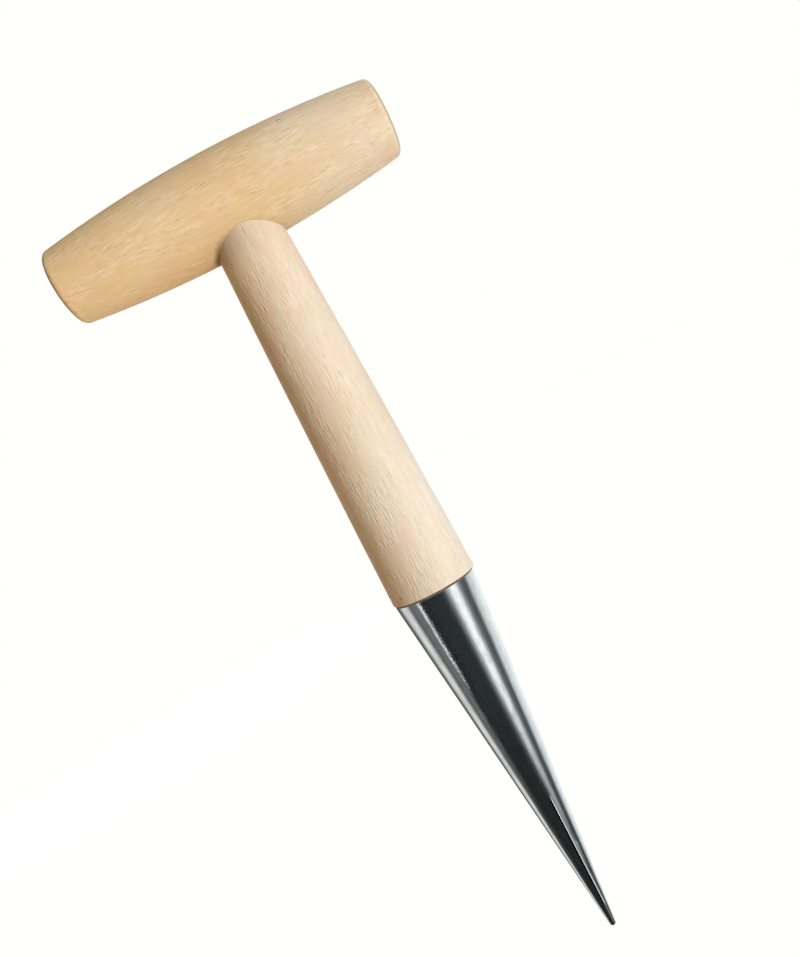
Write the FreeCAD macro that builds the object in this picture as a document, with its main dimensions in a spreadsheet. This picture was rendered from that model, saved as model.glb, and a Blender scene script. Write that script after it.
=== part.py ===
import FreeCAD, Part
import os
import Sketcher

# Bulb planter: a T-handled dibber, upright, in millimetres.
# The tip is the origin, +Z runs up the shaft to the grip and X lies along the grip.

FULL_TURN = 360        # degrees
QUARTER_TURN = 90      # degrees
SAME_SIZE = 0.01       # mm, two sizes closer than this are the same
SAME_CORNER = 0.00001  # mm, two points closer than this are the same
AXIS_X = FreeCAD.Vector(1, 0, 0)
AXIS_Y = FreeCAD.Vector(0, 1, 0)
AXIS_Z = FreeCAD.Vector(0, 0, 1)

doc = FreeCAD.newDocument("bulb_planter")
sheet = doc.addObject("Spreadsheet::Sheet", "Sizes")

sizes = {
    "overall_length": 280,        # tip to the top of the grip
    "grip_length": 115,
    "grip_mid_diameter": 32.6,
    "grip_end_diameter": 24.8,
    "grip_edge_round": 2.2,
    "grip_shift": 2,              # the grip's middle stands this far towards -X of the shaft
    "shaft_foot_overhang": 0.4,   # radial, how far the foot stands proud of the steel's mouth
    "shaft_neck_diameter": 22.4,  # where the shaft's sides would reach the grip's axis
    "shaft_swell": 0.25,          # how far the middle bulges past a straight taper
    "shaft_foot_chamfer": 0.3,
    "cope_clearance": 0.05,       # glue line between the coped end and the grip
    "nose_end_height": 35,        # the wood inside the steel ends this far above the tip
    "nose_end_chamfer": 0.8,
    "nose_clearance": 0.05,       # radial, wood to steel
    "point_length": 125,
    "point_mouth_diameter": 28.2,
    "point_tip_diameter": 2.1,
    "point_wall": 1,              # measured square to the axis
    "point_tip_solid": 12,        # the hollow starts this far above the tip
    "point_tip_round": 0.6,
    "point_mouth_chamfer": 0.25,
    "rim_gap": 0.3,               # open line between the steel's mouth and the wood
    "seam_angle": 10,             # degrees from the front, towards +X
    "seam_start": 7,
    "seam_end": 50,
    "seam_width": 0.4,
    "seam_depth": 0.2,
    "dowel_diameter": 10,
    "dowel_length": 40,
    "dowel_chamfer": 1,
    "dowel_clearance": 0.05,      # radial, for the glue
    "dowel_end_clearance": 1,     # at each end, for spare glue
    "flute_count": 12,
    "flute_radius": 0.6,
    "brad_drop": 11,              # below the steel's mouth
    "brad_diameter": 1.6,
    "brad_length": 9,             # under the head
    "brad_point_length": 2,
    "brad_head_diameter": 3.2,
    "brad_head_height": 0.8,
    "brad_clearance": 0.05,       # radial, in the steel; the wood grips the shank
}
for row, (alias, value) in enumerate(sizes.items(), start=1):
    sheet.set(f"A{row}", alias)
    sheet.set(f"B{row}", str(value))
    sheet.setAlias(f"B{row}", alias)
doc.recompute()


def size(text):
    """Name the sheet before every alias in an expression."""
    words = text.replace("(", "( ").replace(")", " )").split()
    return " ".join("Sizes." + word if word in sizes else word for word in words)


# Places and slopes that more than one piece shares, worked out from the sheet.
GRIP_AXIS = size("( overall_length - grip_mid_diameter / 2 )")
GRIP_UNDERSIDE = size("( overall_length - grip_mid_diameter )")
SHOULDER = size("( point_length + rim_gap )")
TAPER = size("( ( point_mouth_diameter - point_tip_diameter ) / 2 / point_length )")
TIP_RADIUS = size("point_tip_diameter / 2")


def steel_outside(height):
    """Outer radius of the steel cone at a height above the tip."""
    return f"( {TIP_RADIUS} + {TAPER} * {height} )"


def steel_inside(height):
    """Radius of the hollow in the steel cone at a height above the tip."""
    return f"( {steel_outside(height)} - {size('point_wall')} )"


def value_of(expression):
    return float(sheet.evalExpression(expression))


def new_body(label):
    body = doc.addObject("PartDesign::Body", label)
    body.Label = label
    return body


def new_sketch(body, name, role):
    """A sketch on one of the body's own origin planes."""
    sketch = body.newObject("Sketcher::SketchObject", name)
    planes = [feature for feature in body.Origin.OriginFeatures if feature.Role == role]
    sketch.AttachmentSupport = [(planes[0], "")]
    sketch.MapMode = "FlatFace"
    return sketch


def hold_point(sketch, geometry, corner, across, up):
    """Tie one point of a sketch to the sheet, across and up from the sketch's origin."""
    for kind, expression in (("DistanceX", across), ("DistanceY", up)):
        constraint = Sketcher.Constraint(kind, -1, 1, geometry, corner, value_of(expression))
        index = sketch.addConstraint(constraint)
        sketch.setExpression(f"Constraints[{index}]", expression)


def outline(sketch, corners, bulges=None):
    """Close a loop through corners; a bulge gives the point that a side's arc passes through."""
    bulges = bulges or {}
    points = [FreeCAD.Vector(value_of(across), value_of(up), 0) for across, up in corners]
    for side, start in enumerate(points):
        end = points[(side + 1) % len(points)]
        if side in bulges:
            middle = FreeCAD.Vector(*[value_of(place) for place in bulges[side]], 0)
            arc = Part.Arc(start, middle, end)
            sketch.addGeometry(arc, False)
        else:
            sketch.addGeometry(Part.LineSegment(start, end), False)
    ends = []
    for side, start in enumerate(points):
        forwards = sketch.getPoint(side, 1).distanceToPoint(start) < SAME_CORNER
        ends.append((1, 2) if forwards else (2, 1))
    for side in range(len(points)):
        after = (side + 1) % len(points)
        sketch.addConstraint(Sketcher.Constraint("Coincident", side, ends[side][1], after, ends[after][0]))
    for side, (across, up) in enumerate(corners):
        hold_point(sketch, side, ends[side][0], across, up)
    for side, (across, up) in bulges.items():
        place = FreeCAD.Vector(value_of(across), value_of(up), 0)
        mark = sketch.addGeometry(Part.Point(place), True)
        hold_point(sketch, mark, 1, across, up)
        sketch.addConstraint(Sketcher.Constraint("PointOnObject", mark, 1, side))


def circle(sketch, radius, across="0", up="0"):
    centre = FreeCAD.Vector(value_of(across), value_of(up), 0)
    sketch.addGeometry(Part.Circle(centre, AXIS_Z, value_of(radius)), False)
    hold_point(sketch, 0, 3, across, up)
    index = sketch.addConstraint(Sketcher.Constraint("Radius", 0, value_of(radius)))
    sketch.setExpression(f"Constraints[{index}]", radius)


def turn(body, kind, name, sketch, axis):
    """Revolve a sketch all the way round one of its own axes, adding or cutting."""
    feature = body.newObject("PartDesign::" + kind, name)
    feature.Profile = sketch
    feature.ReferenceAxis = (sketch, [axis])
    feature.Angle = FULL_TURN
    sketch.Visibility = False
    return feature


def pocket(body, name, sketch, depth, upwards=False):
    """Cut a sketch to a depth, or right through when no depth is given."""
    feature = body.newObject("PartDesign::Pocket", name)
    feature.Profile = sketch
    feature.Reversed = upwards
    if depth:
        feature.Type = "Length"
        feature.setExpression("Length", depth)
    else:
        feature.Type = "ThroughAll"
    sketch.Visibility = False
    return feature


def dress(body, kind, name, amount, wanted):
    """Round or chamfer the circular edges that lie where the test says."""
    doc.recompute()
    base = body.Tip
    edges = []
    for number, edge in enumerate(base.Shape.Edges, start=1):
        if edge.Curve.TypeId == "Part::GeomCircle" and wanted(edge.Curve.Center, edge.Curve.Radius):
            edges.append(f"Edge{number}")
    feature = body.newObject("PartDesign::" + kind, name)
    feature.Base = (base, edges)
    feature.setExpression("Radius" if kind == "Fillet" else "Size", amount)
    return feature


def near(first, second):
    return abs(first - second) < SAME_SIZE


# --- grip: its own origin is the middle of its axis ---

def barrel(sketch, clearance):
    """Half the grip's long section, above the sketch's own horizontal axis."""
    half = size("grip_length / 2")
    end_radius = f"{size('grip_end_diameter / 2')} + {clearance}"
    mid_radius = f"{size('grip_mid_diameter / 2')} + {clearance}"
    corners = [(f"-{half}", "0"), (f"-{half}", end_radius), (half, end_radius), (half, "0")]
    outline(sketch, corners, {1: ("0", mid_radius)})


grip = new_body("grip")
grip_section = new_sketch(grip, "grip_section", "XZ_Plane")
barrel(grip_section, "0")
turn(grip, "Revolution", "grip_blank", grip_section, "H_Axis")
half_grip = value_of(size("grip_length / 2"))
dress(grip, "Fillet", "grip_rounds", size("grip_edge_round"),
      lambda middle, radius: near(abs(middle.x), half_grip))

bore_radius = size("dowel_diameter / 2 + dowel_clearance")
grip_bore = new_sketch(grip, "grip_bore_circle", "XY_Plane")
circle(grip_bore, bore_radius, size("grip_shift"))
dowel_top = f"( {GRIP_UNDERSIDE} + {size('dowel_length / 2')} )"
bore_top = f"{dowel_top} + {size('dowel_end_clearance')} - {GRIP_AXIS}"
grip_bore.setExpression("AttachmentOffset.Base.z", bore_top)
pocket(grip, "grip_bore", grip_bore, None)
grip.setExpression("Placement.Base.x", size("-1 * grip_shift"))
grip.setExpression("Placement.Base.z", GRIP_AXIS)

# --- shaft: its own origin is the middle of its square foot ---

shaft = new_body("shaft")
shaft_section = new_sketch(shaft, "shaft_section", "XZ_Plane")
nose_end = f"{size('nose_end_height')} - {SHOULDER}"
nose_end_radius = f"{steel_inside(size('nose_end_height'))} - {size('nose_clearance')}"
nose_root_radius = f"{steel_inside(SHOULDER)} - {size('nose_clearance')}"
shaft_top = f"{GRIP_AXIS} - {SHOULDER}"
foot_radius = size("( point_mouth_diameter / 2 + shaft_foot_overhang )")
neck_radius = size("( shaft_neck_diameter / 2 )")
middle_radius = f"( {foot_radius} + {neck_radius} ) / 2 + {size('shaft_swell')}"
shaft_corners = [
    ("0", nose_end),
    (nose_end_radius, nose_end),
    (nose_root_radius, "0"),
    (f"{foot_radius} - {size('shaft_foot_chamfer')}", "0"),
    (foot_radius, size("shaft_foot_chamfer")),
    (neck_radius, shaft_top),
    ("0", shaft_top),
]
outline(shaft_section, shaft_corners, {4: (middle_radius, f"( {shaft_top} ) / 2")})
turn(shaft, "Revolution", "shaft_blank", shaft_section, "V_Axis")
nose_depth = value_of(nose_end)
dress(shaft, "Chamfer", "nose_edge", size("nose_end_chamfer"),
      lambda middle, radius: near(middle.z, nose_depth))

cope_section = new_sketch(shaft, "cope_section", "XZ_Plane")
barrel(cope_section, size("cope_clearance"))
cope_section.setExpression("AttachmentOffset.Base.x", size("-1 * grip_shift"))
cope_section.setExpression("AttachmentOffset.Base.y", shaft_top)
turn(shaft, "Groove", "cope", cope_section, "H_Axis")

shaft_bore = new_sketch(shaft, "shaft_bore_circle", "XY_Plane")
circle(shaft_bore, bore_radius)
dowel_foot = f"( {GRIP_UNDERSIDE} - {size('dowel_length / 2')} )"
bore_foot = f"{dowel_foot} - {size('dowel_end_clearance')} - {SHOULDER}"
shaft_bore.setExpression("AttachmentOffset.Base.z", bore_foot)
pocket(shaft, "shaft_bore", shaft_bore, None, upwards=True)
shaft.setExpression("Placement.Base.z", SHOULDER)

# --- brad: its own origin is where its axis meets the steel's outside, with +Z outwards ---

brad_height = size("( point_length - brad_drop )")
brad_turn = f"-1 * {QUARTER_TURN} deg - atan( {TAPER} )"


def lay_square_to_steel(thing, holder, origin_height):
    """Stand a piece or sketch square on the back of the steel cone."""
    backwards = FreeCAD.Rotation(AXIS_X, -QUARTER_TURN)
    setattr(thing, holder, FreeCAD.Placement(FreeCAD.Vector(), backwards))
    thing.setExpression(holder + ".Base.y", steel_outside(brad_height))
    thing.setExpression(holder + ".Base.z", f"{brad_height} - {origin_height}")
    thing.setExpression(holder + ".Rotation.Angle", brad_turn)


def brad_hole(body, radius, origin_height):
    hole = new_sketch(body, body.Label + "_brad_circle", "XY_Plane")
    circle(hole, radius)
    lay_square_to_steel(hole, "AttachmentOffset", origin_height)
    pocket(body, body.Label + "_brad_hole", hole, size("brad_length"))


point_brad = new_body("point_brad")
brad_section = new_sketch(point_brad, "brad_section", "XZ_Plane")
shank = size("brad_diameter / 2")
head = size("brad_head_diameter / 2")
brad_corners = [
    ("0", size("-1 * brad_length")),
    (shank, size("brad_point_length - brad_length")),
    (shank, "0"),
    (head, "0"),
    ("0", size("brad_head_height")),
]
crown_radius = size("( ( brad_head_diameter ^ 2 / 4 + brad_head_height ^ 2 ) / 2 / brad_head_height )")
crown = size(f"sqrt( {crown_radius} ^ 2 - brad_head_diameter ^ 2 / 16 ) - {crown_radius} + brad_head_height")
outline(brad_section, brad_corners, {3: (size("brad_head_diameter / 4"), crown)})
turn(point_brad, "Revolution", "brad_turned", brad_section, "V_Axis")
lay_square_to_steel(point_brad, "Placement", "0")
brad_hole(shaft, shank, SHOULDER)

# --- steel point: its own origin is the tip ---

steel_point = new_body("steel_point")
shell_section = new_sketch(steel_point, "shell_section", "XZ_Plane")
hollow_foot = size("point_tip_solid")
mouth = size("point_length")
shell_corners = [
    ("0", "0"),
    (TIP_RADIUS, "0"),
    (steel_outside(mouth), mouth),
    (steel_inside(mouth), mouth),
    (steel_inside(hollow_foot), hollow_foot),
    ("0", hollow_foot),
]
outline(shell_section, shell_corners)
turn(steel_point, "Revolution", "shell", shell_section, "V_Axis")
dress(steel_point, "Fillet", "tip_round", size("point_tip_round"),
      lambda middle, radius: near(middle.z, 0))
mouth_height = value_of(mouth)
mouth_radius = value_of(steel_outside(mouth))
dress(steel_point, "Chamfer", "mouth_edge", size("point_mouth_chamfer"),
      lambda middle, radius: near(middle.z, mouth_height) and near(radius, mouth_radius))

seam = new_sketch(steel_point, "seam_section", "XZ_Plane")
to_seam = FreeCAD.Rotation(AXIS_Y, sizes["seam_angle"] - QUARTER_TURN)
seam.AttachmentOffset = FreeCAD.Placement(FreeCAD.Vector(), to_seam)
seam.setExpression("AttachmentOffset.Rotation.Angle", size(f"( seam_angle - {QUARTER_TURN} ) * 1 deg"))
seam_start = size("seam_start")
seam_end = size("seam_end")
seam_depth = size("seam_depth")
clear_of_steel = size("seam_width")
seam_corners = [
    (f"{steel_outside(seam_start)} - {seam_depth}", seam_start),
    (f"{steel_outside(seam_start)} + {clear_of_steel}", seam_start),
    (f"{steel_outside(seam_end)} + {clear_of_steel}", seam_end),
    (f"{steel_outside(seam_end)} - {seam_depth}", seam_end),
]
outline(seam, seam_corners)
seam_cut = pocket(steel_point, "seam_line", seam, size("seam_width"))
seam_cut.Midplane = True
brad_hole(steel_point, f"{shank} + {size('brad_clearance')}", "0")

# --- dowel: its own origin is the middle of its lower end ---

joint_dowel = new_body("joint_dowel")
dowel_circle = new_sketch(joint_dowel, "dowel_circle", "XY_Plane")
dowel_radius = size("dowel_diameter / 2")
circle(dowel_circle, dowel_radius)
dowel_rod = joint_dowel.newObject("PartDesign::Pad", "dowel_rod")
dowel_rod.Profile = dowel_circle
dowel_rod.setExpression("Length", size("dowel_length"))
dress(joint_dowel, "Chamfer", "dowel_ends", size("dowel_chamfer"), lambda middle, radius: True)
flute_circle = new_sketch(joint_dowel, "flute_circle", "XY_Plane")
circle(flute_circle, size("flute_radius"), dowel_radius)
flute = pocket(joint_dowel, "flute", flute_circle, None, upwards=True)
flutes = joint_dowel.newObject("PartDesign::PolarPattern", "flutes")
flutes.Originals = [flute]
flutes.Axis = (dowel_circle, ["N_Axis"])
flutes.Angle = FULL_TURN
flutes.setExpression("Occurrences", size("flute_count"))
joint_dowel.Tip = flutes
joint_dowel.setExpression("Placement.Base.z", dowel_foot)

doc.recompute()

# --- check everything, then write one file for each piece ---

pieces = [grip, shaft, joint_dowel, steel_point, point_brad]
cuts = [
    "grip_bore",
    "cope",
    "shaft_bore",
    "shaft_brad_hole",
    "seam_line",
    "steel_point_brad_hole",
    "flute",
    "flutes",
]
faults = []
for thing in doc.Objects:
    if "Invalid" in thing.State or "Error" in thing.State:
        faults.append(f"{thing.Name}: {thing.State}")
for name in cuts:
    cut = doc.getObject(name)
    if not cut.Shape.Volume < cut.BaseFeature.Shape.Volume:
        faults.append(f"{name} removes nothing")
for piece in pieces:
    if piece.Shape.isNull() or not piece.Shape.isValid() or len(piece.Shape.Solids) != 1:
        faults.append(f"{piece.Label} is not one valid solid")
if faults:
    raise SystemExit("\n".join(faults))

os.makedirs("parts", exist_ok=True)
for piece in pieces:
    piece.Shape.exportStep(f"parts/{piece.Label}.step")
    box = piece.Shape.BoundBox
    print(f"{piece.Label}: {piece.Shape.Volume:.1f} mm3, z {box.ZMin:.2f} to {box.ZMax:.2f},"
          f" x {box.XMin:.2f} to {box.XMax:.2f}")
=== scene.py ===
import math

import bpy
import bmesh
from mathutils import Matrix, Vector


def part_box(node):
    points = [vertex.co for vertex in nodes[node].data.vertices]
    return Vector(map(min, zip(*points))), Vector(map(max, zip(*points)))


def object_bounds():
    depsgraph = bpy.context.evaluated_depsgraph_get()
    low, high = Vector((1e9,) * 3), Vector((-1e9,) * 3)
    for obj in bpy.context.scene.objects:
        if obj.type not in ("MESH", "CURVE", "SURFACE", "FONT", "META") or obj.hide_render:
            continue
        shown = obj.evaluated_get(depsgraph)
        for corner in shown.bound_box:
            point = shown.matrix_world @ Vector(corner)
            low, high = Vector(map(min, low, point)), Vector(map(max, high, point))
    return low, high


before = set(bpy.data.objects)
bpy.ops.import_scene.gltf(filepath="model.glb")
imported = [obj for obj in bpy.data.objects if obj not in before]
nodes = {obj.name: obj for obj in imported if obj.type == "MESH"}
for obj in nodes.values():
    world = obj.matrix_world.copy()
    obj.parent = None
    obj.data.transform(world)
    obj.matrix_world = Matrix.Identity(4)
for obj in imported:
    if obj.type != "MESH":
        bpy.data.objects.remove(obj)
cadLow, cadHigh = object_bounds()
print("frame loaded:", ", ".join(sorted(nodes)))

white = (1, 1, 1, 1)
fullTurn = 360  # degrees


def feed(tree, made, inputs):  # each input takes a value, or a socket to link
    for socket, value in inputs.items():
        if isinstance(value, bpy.types.NodeSocket):
            tree.links.new(value, made.inputs[socket])
        else:
            made.inputs[socket].default_value = value


def addNode(tree, kind, inputs=None, **settings):
    made = tree.nodes.new(kind)
    for name, value in settings.items():
        setattr(made, name, value)
    feed(tree, made, inputs or {})
    return made


def maths(tree, operation, first, second=0.0, third=0.0, clamp=False):
    inputs = {0: first, 1: second, 2: third}
    return addNode(tree, "ShaderNodeMath", inputs, operation=operation, use_clamp=clamp).outputs[0]


def vectorMaths(tree, operation, first, second=(0, 0, 0)):
    made = addNode(tree, "ShaderNodeVectorMath", {0: first, 1: second}, operation=operation)
    return made.outputs["Value" if operation == "LENGTH" else "Vector"]


def remap(tree, value, low, high, toLow=0.0, toHigh=1.0):  # a soft step from low to high
    made = addNode(tree, "ShaderNodeMapRange",
                   {"Value": value, "From Min": low, "From Max": high, "To Min": toLow, "To Max": toHigh},
                   interpolation_type="SMOOTHSTEP")
    return made.outputs["Result"]


def mixColour(tree, factor, first, second, blend="MIX"):
    inputs = {0: factor, 6: first, 7: second}  # this node's colour sockets go by number
    return addNode(tree, "ShaderNodeMix", inputs, data_type="RGBA", blend_type=blend).outputs[2]


def azimuth(tree, parts):  # radians round from the front, positive towards the right
    return maths(tree, "ARCTAN2", parts["X"], maths(tree, "MULTIPLY", parts["Y"], -1.0))


def distanceFrom(tree, position, centre, stretch):  # stretch scales each axis before measuring
    offset = vectorMaths(tree, "SUBTRACT", position, centre)
    return vectorMaths(tree, "LENGTH", vectorMaths(tree, "MULTIPLY", offset, stretch))


def bumped(tree, strength, distance, height, normal=None):
    inputs = {"Strength": strength, "Distance": distance, "Height": height}
    if normal is not None:
        inputs["Normal"] = normal
    return addNode(tree, "ShaderNodeBump", inputs).outputs["Normal"]


def shadeOf(colour, share):  # darker below 1, paler above
    return tuple(part * share for part in colour[:3]) + (1,)


def startGroup(name, inputs, outputs):  # inputs and outputs give each socket's type by its name
    group = bpy.data.node_groups.new(name, "ShaderNodeTree")
    for label, kind in inputs.items():
        group.interface.new_socket(name=label, in_out="INPUT", socket_type=kind)
    for label, kind in outputs.items():
        group.interface.new_socket(name=label, in_out="OUTPUT", socket_type=kind)
    return group, group.nodes.new("NodeGroupInput"), group.nodes.new("NodeGroupOutput")


def placeGroup(tree, group, inputs):
    return addNode(tree, "ShaderNodeGroup", inputs, node_tree=group).outputs


def startMaterial(name):
    material = bpy.data.materials.new(name)
    material.use_nodes = True
    tree = material.node_tree
    tree.nodes.clear()
    shader = tree.nodes.new("ShaderNodeBsdfPrincipled")
    output = tree.nodes.new("ShaderNodeOutputMaterial")
    tree.links.new(shader.outputs["BSDF"], output.inputs["Surface"])
    return material, tree, shader


cameraSetup = {
    "place": (0.01264, -0.27169, 0.16909),
    "aim": (0.00655, 0.0, 0.16074),
    "lens": 32.0,
    "roll": -27.96,  # degrees about the line of sight
    "near": 0.01,
    "far": 50.0,
}


def makeCamera(setup):
    data = bpy.data.cameras.new("camera")
    data.lens = setup["lens"]
    data.clip_start = setup["near"]
    data.clip_end = setup["far"]
    camera = bpy.data.objects.new("camera", data)
    bpy.context.scene.collection.objects.link(camera)
    place = Vector(setup["place"])
    turn = (Vector(setup["aim"]) - place).to_track_quat("-Z", "Y").to_matrix().to_4x4()
    roll = Matrix.Rotation(math.radians(setup["roll"]), 4, "Z")
    camera.matrix_world = Matrix.Translation(place) @ turn @ roll
    bpy.context.scene.camera = camera


makeCamera(cameraSetup)
bpy.context.scene.view_settings.view_transform = "Standard"
print("camera placed")


studio = {
    "floorHalf": 6.0,
    "floorColour": (0.12, 0.12, 0.05, 1),
    "floorGlow": (0.97, 0.97, 0.935, 1),
    "floorRoughness": 0.9,
    "backdrop": (1.0, 1.0, 0.965, 1),
    "ambientLeft": (0.220, 0.138, 0.062, 1),
    "ambientRight": (0.26, 0.26, 0.26, 1),
    "leftAt": -0.4,  # the direction's X where the ambient light is all left, then all right
    "rightAt": 0.7,
    "bounce": 5.0,  # how much brighter the surroundings are from below
    "sky": 2.1,  # and from above
    "fullSlope": 0.8,  # the direction's Z, up or down, where either is full
    "bandSoftness": 0.06,  # radians
}

lights = {
    "keyLight": {"azimuth": 38, "distance": 1.25, "height": 0.14, "wide": 0.46, "tall": 1.7,
                 "watts": 22.3, "tint": (1.0, 0.99, 0.965)},
    "edgeLight": {"azimuth": -150, "distance": 1.0, "height": 0.20, "wide": 0.4, "tall": 0.6,
                  "watts": 5.0, "tint": (1.0, 1.0, 1.0)},
}

# what the steel mirrors from each direction: degrees round from the front, brightness
mirroredBands = [
    (-180, 0.08), (-140, 0.13), (-129, 0.45), (-119, 0.76), (-106, 0.78), (-97, 0.40), (-90, 0.115),
    (-78, 0.17), (-64, 0.16), (-62, 1.15), (-60, 1.15), (-58, 0.05), (-50, 0.030), (9, 0.032),
    (16, 0.06), (22, 0.16), (28, 0.35), (34, 0.70), (40, 1.04), (49, 1.12), (55, 0.92), (63, 0.37),
    (71, 0.15), (86, 0.085), (93, 0.20), (101, 0.62), (118, 0.82), (138, 0.98), (177, 1.1), (180, 0.08),
]
mirroredTints = {
    "left": (0.985, 1.0, 0.985),
    "leftBefore": -50,  # degrees
    "dark": (0.80, 1.0, 1.12),
    "darkBelow": 0.1,  # brightness
    "right": (0.955, 1.0, 1.0),
}
# parts that dim towards the floor: degrees from and to, the direction's Z where dim and where full,
# and the share of the brightness left where dim
dimmedBands = [
    {"from": 16, "to": 80, "dimAt": -0.64, "fullAt": -0.42, "share": 0.20},
    {"from": -96, "to": -78, "dimAt": -0.60, "fullAt": -0.45, "share": 0.50},
    {"from": -80, "to": -65, "dimAt": -0.56, "fullAt": -0.44, "share": 0.22},
    {"from": -67, "to": -54, "dimAt": -0.445, "fullAt": -0.418, "share": 0.05},
    {"from": -54, "to": 11, "dimAt": -0.56, "fullAt": -0.46, "share": 0.65},
]


def makeFloor(setup):
    mesh = bpy.data.meshes.new("studioFloor")
    plane = bmesh.new()
    bmesh.ops.create_grid(plane, x_segments=1, y_segments=1, size=setup["floorHalf"])
    plane.to_mesh(mesh)
    plane.free()
    floor = bpy.data.objects.new("studioFloor", mesh)
    bpy.context.scene.collection.objects.link(floor)
    material, tree, shader = startMaterial("paleFloor")
    feed(tree, shader, {"Base Color": setup["floorColour"], "Roughness": setup["floorRoughness"],
                        "Emission Color": setup["floorGlow"], "Emission Strength": 1.0})
    mesh.materials.append(material)
    floor.visible_glossy = False
    floor.visible_diffuse = False
    floor.visible_shadow = False


def makeLight(name, setup, target):
    data = bpy.data.lights.new(name, "AREA")
    data.shape = "RECTANGLE"
    data.size = setup["wide"]
    data.size_y = setup["tall"]
    data.energy = setup["watts"]
    data.color = setup["tint"]
    light = bpy.data.objects.new(name, data)
    bpy.context.scene.collection.objects.link(light)
    around = math.radians(setup["azimuth"])
    away = setup["distance"]
    place = Vector((math.sin(around) * away, -math.cos(around) * away, setup["height"]))
    turn = (target - place).to_track_quat("-Z", "Y").to_matrix().to_4x4()
    light.matrix_world = Matrix.Translation(place) @ turn
    light.visible_glossy = False
    light.visible_camera = False


def tintOf(degrees, brightness):
    if degrees < mirroredTints["leftBefore"]:
        return mirroredTints["left"]
    if brightness < mirroredTints["darkBelow"]:
        return mirroredTints["dark"]
    return mirroredTints["right"]


def mirroredSurround(tree, around, bands):
    share = maths(tree, "MULTIPLY_ADD", around, 1 / math.tau, 0.5)
    ramp = addNode(tree, "ShaderNodeValToRGB", {"Fac": share})
    stops = ramp.color_ramp.elements
    for number, (degrees, brightness) in enumerate(bands):
        place = degrees / fullTurn + 0.5
        stop = stops[number] if number < 2 else stops.new(place)  # a new ramp has two stops
        stop.position = place
        stop.color = tuple(brightness * part for part in tintOf(degrees, brightness)) + (1,)
    return ramp.outputs["Color"]


def dimmedTowardsFloor(tree, colour, around, height, band, soft):
    start = math.radians(band["from"])
    end = math.radians(band["to"])
    begun = remap(tree, around, start - soft, start + soft)
    notOver = remap(tree, around, end - soft, end + soft, 1.0, 0.0)
    inside = maths(tree, "MULTIPLY", begun, notOver)
    dim = remap(tree, height, band["dimAt"], band["fullAt"], band["share"], 1.0)
    return mixColour(tree, 1.0, colour, mixColour(tree, inside, white, dim), "MULTIPLY")


def ambientLight(tree, parts, setup):
    toRight = remap(tree, parts["X"], setup["leftAt"], setup["rightAt"])
    ambient = mixColour(tree, toRight, setup["ambientLeft"], setup["ambientRight"])
    bounce = remap(tree, parts["Z"], 0.0, -setup["fullSlope"], 1.0, setup["bounce"])
    sky = remap(tree, parts["Z"], 0.0, setup["fullSlope"], 1.0, setup["sky"])
    return mixColour(tree, 1.0, ambient, maths(tree, "MULTIPLY", bounce, sky), "MULTIPLY")


def makeWorld(setup, bands, dimmed):
    world = bpy.data.worlds.new("studio")
    world.use_nodes = True
    bpy.context.scene.world = world
    tree = world.node_tree
    tree.nodes.clear()
    direction = addNode(tree, "ShaderNodeTexCoord").outputs["Generated"]
    parts = addNode(tree, "ShaderNodeSeparateXYZ", {0: direction}).outputs
    around = azimuth(tree, parts)
    mirrored = mirroredSurround(tree, around, bands)
    for band in dimmed:
        mirrored = dimmedTowardsFloor(tree, mirrored, around, parts["Z"], band, setup["bandSoftness"])
    paths = addNode(tree, "ShaderNodeLightPath").outputs
    unseen = mixColour(tree, paths["Is Glossy Ray"], ambientLight(tree, parts, setup), mirrored)
    seen = mixColour(tree, paths["Is Camera Ray"], unseen, setup["backdrop"])
    background = addNode(tree, "ShaderNodeBackground", {"Color": seen, "Strength": 1.0})
    addNode(tree, "ShaderNodeOutputWorld", {"Surface": background.outputs[0]})


makeFloor(studio)
middle = (cadLow + cadHigh) / 2
for name, setup in lights.items():
    makeLight(name, setup, middle)
makeWorld(studio, mirroredBands, dimmedBands)
print("studio lit")


# the marks in the wood: a small stretch draws a mark out along the grain
beechMarks = {
    "tone": {"stretch": 0.45, "scale": 75.0},
    "hue": {"stretch": 0.55, "scale": 130.0, "detail": 1.0},
    "patches": {"stretch": 0.45, "scale": 190.0, "detail": 1.0},
    "streaks": {"stretch": 0.13, "detail": 4.0, "roughness": 0.62, "distortion": 0.05},
    "ripples": {"stretch": 0.125, "detail": 1.0},
    "flecks": {"stretch": 0.20, "small": 0.14, "large": 0.34},
    "pores": {"stretch": 0.17, "small": 0.08, "large": 0.24},
    "rippleFineness": 2.0,  # next to the streaks
    "poreFineness": 1.8,  # next to the flecks
    "patchRange": (0.38, 0.54),
    "ridgeRange": (0.36, 0.64),
    "fleckRise": -0.7,  # heights next to the streaks' own
    "poreRise": -0.3,
    "rippleRise": 3.0,
}


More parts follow.
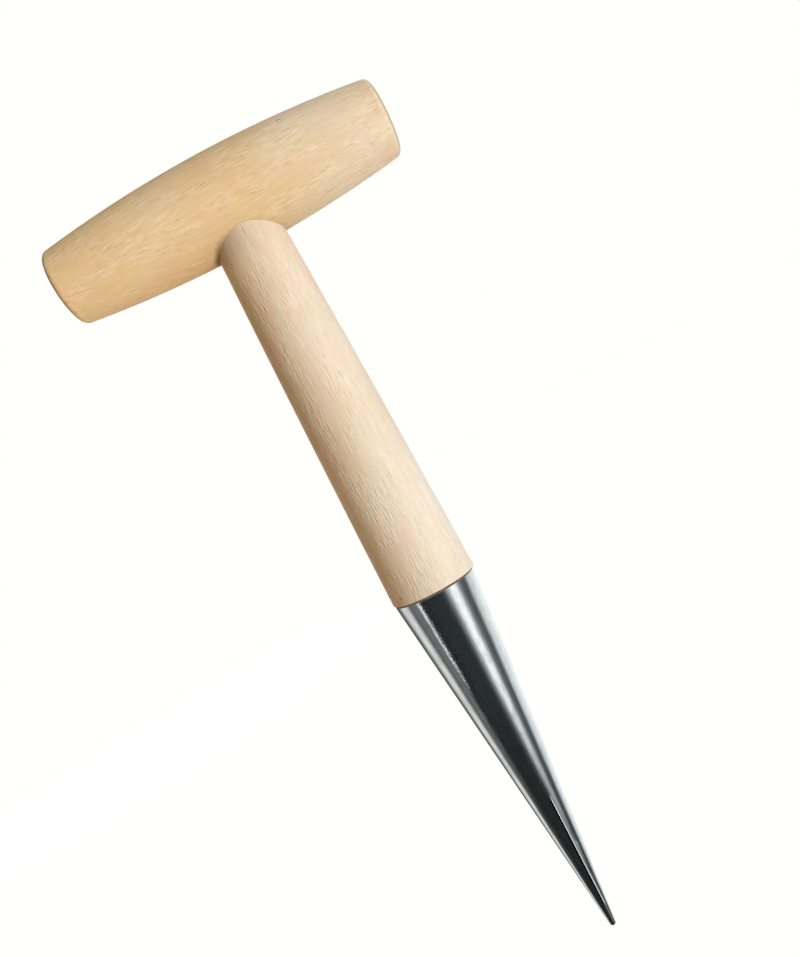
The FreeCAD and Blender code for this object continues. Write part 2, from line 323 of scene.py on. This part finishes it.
def makeBeechFigure(marks):
    group, given, result = startGroup(
        "beechFigure",
        {"Vector": "NodeSocketVector", "Streak Scale": "NodeSocketFloat", "Fleck Scale": "NodeSocketFloat"},
        dict.fromkeys(("Tone", "Hue", "Streaks", "Flecks", "Pores", "Ridges", "Height"), "NodeSocketFloat"),
    )
    along = given.outputs["Vector"]  # the grain runs along Z
    streakScale = given.outputs["Streak Scale"]
    fleckScale = given.outputs["Fleck Scale"]

    def cloud(stretch, scale, detail=2.0, roughness=0.5, distortion=0.0):
        settings = {"Vector": vectorMaths(group, "MULTIPLY", along, (1, 1, stretch)), "Scale": scale,
                    "Detail": detail, "Roughness": roughness, "Distortion": distortion}
        return addNode(group, "ShaderNodeTexNoise", settings).outputs["Fac"]

    def cells(stretch, scale, small, large):
        settings = {"Vector": vectorMaths(group, "MULTIPLY", along, (1, 1, stretch)), "Scale": scale}
        distance = addNode(group, "ShaderNodeTexVoronoi", settings).outputs["Distance"]
        return remap(group, distance, small, large, 1.0, 0.0)

    streaks = cloud(scale=streakScale, **marks["streaks"])
    patches = remap(group, cloud(**marks["patches"]), *marks["patchRange"])
    rippleScale = maths(group, "MULTIPLY", streakScale, marks["rippleFineness"])
    ripples = cloud(scale=rippleScale, **marks["ripples"])
    flecks = maths(group, "MULTIPLY", cells(scale=fleckScale, **marks["flecks"]), patches)
    poreScale = maths(group, "MULTIPLY", fleckScale, marks["poreFineness"])
    pores = cells(scale=poreScale, **marks["pores"])
    height = maths(group, "MULTIPLY_ADD", flecks, marks["fleckRise"], streaks)
    height = maths(group, "MULTIPLY_ADD", pores, marks["poreRise"], height)
    waves = maths(group, "MULTIPLY", maths(group, "SUBTRACT", ripples, 0.5), patches)
    height = maths(group, "MULTIPLY_ADD", waves, marks["rippleRise"], height)
    ridges = maths(group, "MULTIPLY", remap(group, ripples, *marks["ridgeRange"]), patches)
    feed(group, result, {"Tone": cloud(**marks["tone"]), "Hue": cloud(**marks["hue"]), "Streaks": streaks,
                         "Flecks": flecks, "Pores": pores, "Ridges": ridges, "Height": height})
    return group


scratchMarks = {
    "lengthwise": {"turn": (0, 0, 0), "stretch": 0.02, "fineness": 0.8, "strength": 0.35},
    "slanting": {"turn": (0.1, 0.75, 0.2), "stretch": 0.10, "fineness": 0.55, "strength": 0.65},
    "lines": {"detail": 3.0, "roughness": 0.7},
    "smudges": {"scale": 90.0, "detail": 3.0, "roughness": 0.55},
    "mottle": {"scale": 420.0, "detail": 3.0, "roughness": 0.65},
    "scratchRange": (0.48, 0.62),
}


def makeFineScratches(marks):
    group, given, result = startGroup(
        "fineScratches",
        {"Vector": "NodeSocketVector", "Scale": "NodeSocketFloat"},
        dict.fromkeys(("Scratches", "Smudges", "Mottle", "Height"), "NodeSocketFloat"),
    )
    position = given.outputs["Vector"]

    def cloud(vector, scale, detail, roughness):
        settings = {"Vector": vector, "Scale": scale, "Detail": detail, "Roughness": roughness}
        return addNode(group, "ShaderNodeTexNoise", settings).outputs["Fac"]

    def lines(mark):
        mapping = {"Vector": position, "Rotation": mark["turn"], "Scale": (1, 1, mark["stretch"])}
        turned = addNode(group, "ShaderNodeMapping", mapping).outputs[0]
        scale = maths(group, "MULTIPLY", given.outputs["Scale"], mark["fineness"])
        return maths(group, "MULTIPLY", cloud(turned, scale, **marks["lines"]), mark["strength"])

    both = maths(group, "ADD", lines(marks["lengthwise"]), lines(marks["slanting"]))
    feed(group, result, {"Scratches": remap(group, both, *marks["scratchRange"]),
                         "Smudges": cloud(position, **marks["smudges"]),
                         "Mottle": cloud(position, **marks["mottle"]), "Height": both})
    return group


beechFigure = makeBeechFigure(beechMarks)
fineScratches = makeFineScratches(scratchMarks)
print("shared effects ready")

gripLow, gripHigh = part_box("grip")
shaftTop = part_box("shaft")[1].z
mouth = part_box("steel_point")[1].z

# shared by all the wood: a range gives from and to, and then the values there
woodLook = {
    "drift": 0.8,  # how far the colour goes towards pale along the piece
    "toneRange": (0.35, 0.65, -0.22, 0.26),
    "hueRange": (0.40, 0.60),
    "cast": 0.28,
    "streakRange": (0.62, 0.34),
    "ridgeHighlightShare": 0.20,
    "ridgeHighlight": 1.2,
    "endShadeDepth": 0.85,
    "cornerShadeRange": (0.006, -0.012, 0.12, 0.85),  # across X, as the painted corner shade is deepest on the left
    "cornerShadeTone": 0.45,
    "speckLength": 0.35,  # the share of its distance that counts along the grain
    "speckCore": 0.5,
    "speckDepth": 0.75,
    "speckTone": 0.4,
    "roughnessRange": (0.3, 0.7, 0.58, 0.44),
    "bump": 0.8,
    "specular": 0.35,
}
gripWood = {
    "name": "oiledGripBeech",
    "turn": (0, math.pi / 2, 0),  # the grain runs along the grip
    "shift": (0.013, 0.021, 0.007),
    "golden": (0.578, 0.440, 0.252, 1),
    "pale": (0.625, 0.565, 0.465, 1),
    "brown": (0.450, 0.285, 0.135, 1),
    "blush": (0.635, 0.440, 0.300, 1),
    "sallow": (0.595, 0.500, 0.262, 1),
    "streakScale": 930.0,
    "fleckScale": 950.0,
    "along": "X",
    "ends": (gripLow.x, gripHigh.x),
    "endShadeWidth": 0.0012,  # the painted shade on the rounded edge at each end
    "endShadeTone": 0.5,
    "paleFrom": 0.005,  # where the wood turns paler
    "paleTo": 0.032,
    "farEndShade": 0.12,  # painted shade: how much darker the far end is painted, evening out the key light
    "streakDepth": 0.22,
    "fleckDepth": 0.18,
    "poreDepth": 0.16,
    "relief": 0.00012,
    "specks": [{"place": (0.0252, -0.0117, 0.2740), "half": 0.00045}],
    "corner": {"inner": 0.0120, "outer": 0.0141, "unmarked": 0.2530, "fullyShaded": 0.2490},  # radii, heights of the painted corner shade
    "endFace": {
        "centre": (0, 0, (gripLow.z + gripHigh.z) / 2),
        "radius": 0.0110,
        "soft": 0.0004,
        "depth": 0.0002,
        "ringShift": (0, 0.021, -0.247),  # moves the tree's heart away from the grip's axis
        "ringScale": 190.0,
        "wobble": 1.6,
        "wobbleDetail": 2.0,
        "wobbleScale": 1.2,
        "ringRange": (0.1, 0.9, 0.14, 0.34),
    },
}
shaftWood = {
    "name": "oiledShaftBeech",
    "turn": (0, 0, 0),
    "shift": (0.031, 0.017, 0.043),
    "golden": (0.530, 0.427, 0.315, 1),
    "pale": (0.588, 0.552, 0.487, 1),
    "brown": (0.420, 0.300, 0.190, 1),
    "blush": (0.610, 0.480, 0.385, 1),
    "sallow": (0.545, 0.505, 0.375, 1),
    "streakScale": 980.0,
    "fleckScale": 1000.0,
    "along": "Z",
    "ends": (mouth, shaftTop + 0.003),  # the coped end gets no painted end shade
    "endShadeWidth": 0.0008,
    "endShadeTone": 0.28,
    "paleFrom": 0.250,
    "paleTo": 0.125,
    "farEndShade": 0.0,
    "streakDepth": 0.17,
    "fleckDepth": 0.16,
    "poreDepth": 0.14,
    "relief": 0.00011,
    "specks": [
        {"place": (-0.0104, -0.0101, 0.1280), "half": 0.0004},
        {"place": (-0.0059, -0.0129, 0.1565), "half": 0.0003},
    ],
    # painted shade on the shaft's top, just under the grip
    "corner": {"inner": 0.0135, "outer": 0.0100, "unmarked": 0.2400, "fullyShaded": 0.2500},
}


def grainColour(tree, wood, look, figure, place):
    drift = remap(tree, place, wood["paleFrom"], wood["paleTo"], 0.0, look["drift"])
    tone = remap(tree, figure["Tone"], *look["toneRange"])
    base = mixColour(tree, maths(tree, "ADD", drift, tone, clamp=True), wood["golden"], wood["pale"])
    cast = mixColour(tree, remap(tree, figure["Hue"], *look["hueRange"]), wood["sallow"], wood["blush"])
    base = mixColour(tree, look["cast"], base, cast)
    endLow, endHigh = wood["ends"]
    # painted shade that darkens the far end, evening out the key light
    farShade = remap(tree, place, endLow, endHigh, 1.0, 1.0 - wood["farEndShade"])
    base = mixColour(tree, 1.0, base, farShade, "MULTIPLY")
    streaks = remap(tree, figure["Streaks"], *look["streakRange"])
    for mark, depth in ((streaks, wood["streakDepth"]), (figure["Flecks"], wood["fleckDepth"]),
                        (figure["Pores"], wood["poreDepth"])):
        base = mixColour(tree, maths(tree, "MULTIPLY", mark, depth), base, wood["brown"])
    # painted highlight: the ripple ridges are painted paler, standing in for light on the raised grain
    ridges = maths(tree, "MULTIPLY", figure["Ridges"], look["ridgeHighlightShare"])
    return mixColour(tree, ridges, base, shadeOf(wood["pale"], look["ridgeHighlight"]))


def endGrain(tree, face, position, fromMiddle, halfLength):  # faint rings, seen on the end face only
    onFace = remap(tree, fromMiddle, halfLength - face["depth"], halfLength)
    mapping = {"Vector": position, "Location": face["ringShift"]}
    moved = addNode(tree, "ShaderNodeMapping", mapping).outputs[0]
    settings = {"Vector": moved, "Scale": face["ringScale"], "Distortion": face["wobble"],
                "Detail": face["wobbleDetail"], "Detail Scale": face["wobbleScale"]}
    rings = addNode(tree, "ShaderNodeTexWave", settings, wave_type="RINGS", rings_direction="X")
    return maths(tree, "MULTIPLY", onFace, remap(tree, rings.outputs["Fac"], *face["ringRange"]))


def endRingsAndShade(tree, wood, look, position, place, base):
    endLow, endHigh = wood["ends"]
    fromMiddle = maths(tree, "ABSOLUTE", maths(tree, "SUBTRACT", place, (endLow + endHigh) / 2))
    halfLength = (endHigh - endLow) / 2
    # painted shade on the rounded edge at each end
    endShade = remap(tree, fromMiddle, halfLength - wood["endShadeWidth"], halfLength, 0.0, look["endShadeDepth"])
    if "endFace" in wood:
        face = wood["endFace"]
        fromAxis = distanceFrom(tree, position, face["centre"], (0, 1, 1))
        rim = remap(tree, fromAxis, face["radius"] - face["soft"], face["radius"] + face["soft"])
        endShade = maths(tree, "MULTIPLY", endShade, rim)
        rings = endGrain(tree, face, position, fromMiddle, halfLength)
        base = mixColour(tree, rings, base, wood["brown"])
    return mixColour(tree, endShade, base, shadeOf(wood["brown"], wood["endShadeTone"]))


def paintedCornerShade(tree, wood, look, position, parts, base):  # painted shade round the joint, deepest on the left
    corner = wood["corner"]
    radius = distanceFrom(tree, position, (0, 0, 0), (1, 1, 0))
    near = remap(tree, radius, corner["outer"], corner["inner"])
    level = remap(tree, parts["Z"], corner["unmarked"], corner["fullyShaded"])
    # painted shade: darker near the joint, where one part shades the other
    cornerShade = maths(tree, "MULTIPLY", near, level)
    cornerShade = maths(tree, "MULTIPLY", cornerShade, remap(tree, parts["X"], *look["cornerShadeRange"]))
    return mixColour(tree, cornerShade, base, shadeOf(wood["brown"], look["cornerShadeTone"]))


def darkSpecks(tree, wood, look, position, base):
    stretch = tuple(look["speckLength"] if axis == wood["along"] else 1.0 for axis in "XYZ")
    for speck in wood["specks"]:
        distance = distanceFrom(tree, position, speck["place"], stretch)
        core = speck["half"] * look["speckCore"]
        mark = remap(tree, distance, core, speck["half"], look["speckDepth"], 0.0)
        base = mixColour(tree, mark, base, shadeOf(wood["brown"], look["speckTone"]))
    return base


def makeWood(wood, look):
    material, tree, shader = startMaterial(wood["name"])
    position = addNode(tree, "ShaderNodeTexCoord").outputs["Object"]
    mapping = {"Vector": position, "Location": wood["shift"], "Rotation": wood["turn"]}
    along = addNode(tree, "ShaderNodeMapping", mapping).outputs[0]
    scales = {"Vector": along, "Streak Scale": wood["streakScale"], "Fleck Scale": wood["fleckScale"]}
    figure = placeGroup(tree, beechFigure, scales)
    parts = addNode(tree, "ShaderNodeSeparateXYZ", {0: position}).outputs
    place = parts[wood["along"]]
    base = grainColour(tree, wood, look, figure, place)
    base = endRingsAndShade(tree, wood, look, position, place, base)
    base = paintedCornerShade(tree, wood, look, position, parts, base)
    base = darkSpecks(tree, wood, look, position, base)
    feed(tree, shader, {"Base Color": base, "Specular IOR Level": look["specular"],
                        "Roughness": remap(tree, figure["Streaks"], *look["roughnessRange"]),
                        "Normal": bumped(tree, look["bump"], wood["relief"], figure["Height"])})
    return material


pointSteel = {
    "name": "polishedPointSteel",
    "unmarked": (0.90, 0.905, 0.91, 1),
    "dull": (0.60, 0.62, 0.63, 1),
    "cool": (0.80, 0.845, 0.86, 1),
    "scratchScale": 1900.0,
    "scratchDulling": 0.42,
    "smudgeRange": (0.42, 0.70, 0.0, 0.4),
    "mottleRange": (0.40, 0.66),
    "dullest": 0.8,  # the dulling at which the steel is as rough as worn
    "smooth": 0.065,
    "worn": 0.20,
    "bump": 0.5,
    "relief": 0.00006,
}
seam = {
    "angle": math.radians(10),  # from the front towards the right
    "start": 0.007,
    "end": 0.050,
    "fade": 0.003,
    "gapHalf": 0.00020,
    "gapFade": 1.4,  # where the gap has faded out on its right, in half gaps
    "shade": 0.00018,  # how far the gap's dark edge reaches over the metal on its left
    "lip": 0.00054,  # how far from the seam's middle the raised edge reaches; it is painted pale and matt, a painted highlight
    "lipFade": 2.0,  # where that edge starts to fall away, in half gaps
    "rise": 0.00010,
    "lipGlintColour": (0.50, 0.58, 0.62, 1),
    "lipRoughness": 0.6,
    "gapColour": (0.02, 0.02, 0.022, 1),
}
pits = {
    "angle": math.radians(-20),  # the middle of a pitted strip below the mouth
    "halfAngle": math.radians(10),
    "low": 0.086,
    "high": 0.098,
    "scale": 1900.0,
    "detail": 2.0,
    "range": (0.50, 0.62),
    "depth": 0.00006,
    "colour": (0.22, 0.23, 0.24, 1),
}


def addPits(tree, position, parts, around, look):  # they break up the reflections on the left
    fromPits = maths(tree, "ABSOLUTE", maths(tree, "SUBTRACT", around, pits["angle"]))
    pitted = maths(tree, "MULTIPLY", remap(tree, fromPits, pits["halfAngle"], 0.0),
                   remap(tree, parts["Z"], pits["low"], pits["high"]))
    settings = {"Vector": position, "Scale": pits["scale"], "Detail": pits["detail"]}
    grain = addNode(tree, "ShaderNodeTexNoise", settings).outputs["Fac"]
    mask = maths(tree, "MULTIPLY", pitted, remap(tree, grain, *pits["range"]))
    height = maths(tree, "MULTIPLY", pitted, grain)
    look["Base Color"] = mixColour(tree, mask, look["Base Color"], pits["colour"])
    look["Normal"] = bumped(tree, 1.0, pits["depth"], height, look["Normal"])


def addSeam(tree, position, parts, around, look):  # a dark gap with a raised edge on its right, painted pale and matt as a painted highlight
    radius = distanceFrom(tree, position, (0, 0, 0), (1, 1, 0))
    across = maths(tree, "MULTIPLY", maths(tree, "SUBTRACT", around, seam["angle"]), radius)
    low = remap(tree, parts["Z"], seam["start"], seam["start"] + seam["fade"])
    high = remap(tree, parts["Z"], seam["end"] - seam["fade"], seam["end"], 1.0, 0.0)
    length = maths(tree, "MULTIPLY", low, high)
    gapHalf = seam["gapHalf"]
    gapRight = gapHalf * seam["gapFade"]
    gap = maths(tree, "MULTIPLY", remap(tree, across, gapRight, gapHalf),
                remap(tree, across, -gapHalf - seam["shade"], -gapHalf))
    colour = mixColour(tree, maths(tree, "MULTIPLY", gap, length), look["Base Color"], seam["gapColour"])
    onLip = maths(tree, "MULTIPLY", remap(tree, across, gapHalf, gapRight), length)
    lip = maths(tree, "MULTIPLY", onLip, remap(tree, across, seam["lip"], gapHalf * seam["lipFade"]))
    lipRoughness = maths(tree, "MULTIPLY", lip, seam["lipRoughness"])
    # painted highlight: the raised edge is painted pale and non-metal so it shows as a bright line
    look["Base Color"] = mixColour(tree, lip, colour, seam["lipGlintColour"])
    look["Roughness"] = maths(tree, "MAXIMUM", look["Roughness"], lipRoughness)
    look["Metallic"] = maths(tree, "SUBTRACT", 1.0, lip)
    look["Normal"] = bumped(tree, 1.0, seam["rise"], lip, look["Normal"])


def makeSteel(steel, withSeam=False):
    material, tree, shader = startMaterial(steel["name"])
    position = addNode(tree, "ShaderNodeTexCoord").outputs["Object"]
    marks = placeGroup(tree, fineScratches, {"Vector": position, "Scale": steel["scratchScale"]})
    smudges = remap(tree, marks["Smudges"], *steel["smudgeRange"])
    dulling = maths(tree, "MULTIPLY_ADD", marks["Scratches"], steel["scratchDulling"], smudges)
    mottle = remap(tree, marks["Mottle"], *steel["mottleRange"])
    colour = mixColour(tree, mottle, steel["unmarked"], steel["cool"])
    look = {
        "Base Color": mixColour(tree, dulling, colour, steel["dull"]),
        "Roughness": remap(tree, dulling, 0.0, steel["dullest"], steel["smooth"], steel["worn"]),
        "Metallic": 1.0,
        "Normal": bumped(tree, steel["bump"], steel["relief"], marks["Height"]),
    }
    if withSeam:
        parts = addNode(tree, "ShaderNodeSeparateXYZ", {0: position}).outputs
        around = azimuth(tree, parts)
        addPits(tree, position, parts, around, look)
        addSeam(tree, position, parts, around, look)
    feed(tree, shader, look)
    return material


finishes = {
    "grip": makeWood(gripWood, woodLook),
    "shaft": makeWood(shaftWood, woodLook),
    "joint_dowel": makeWood(shaftWood | {"name": "dowelBeech", "specks": []}, woodLook),
    "steel_point": makeSteel(pointSteel, withSeam=True),
    "point_brad": makeSteel(pointSteel | {"name": "bradSteel", "smooth": 0.25, "worn": 0.4}),
}
for name, material in finishes.items():
    nodes[name].material_slots[0].material = material
print("wood and steel finished")
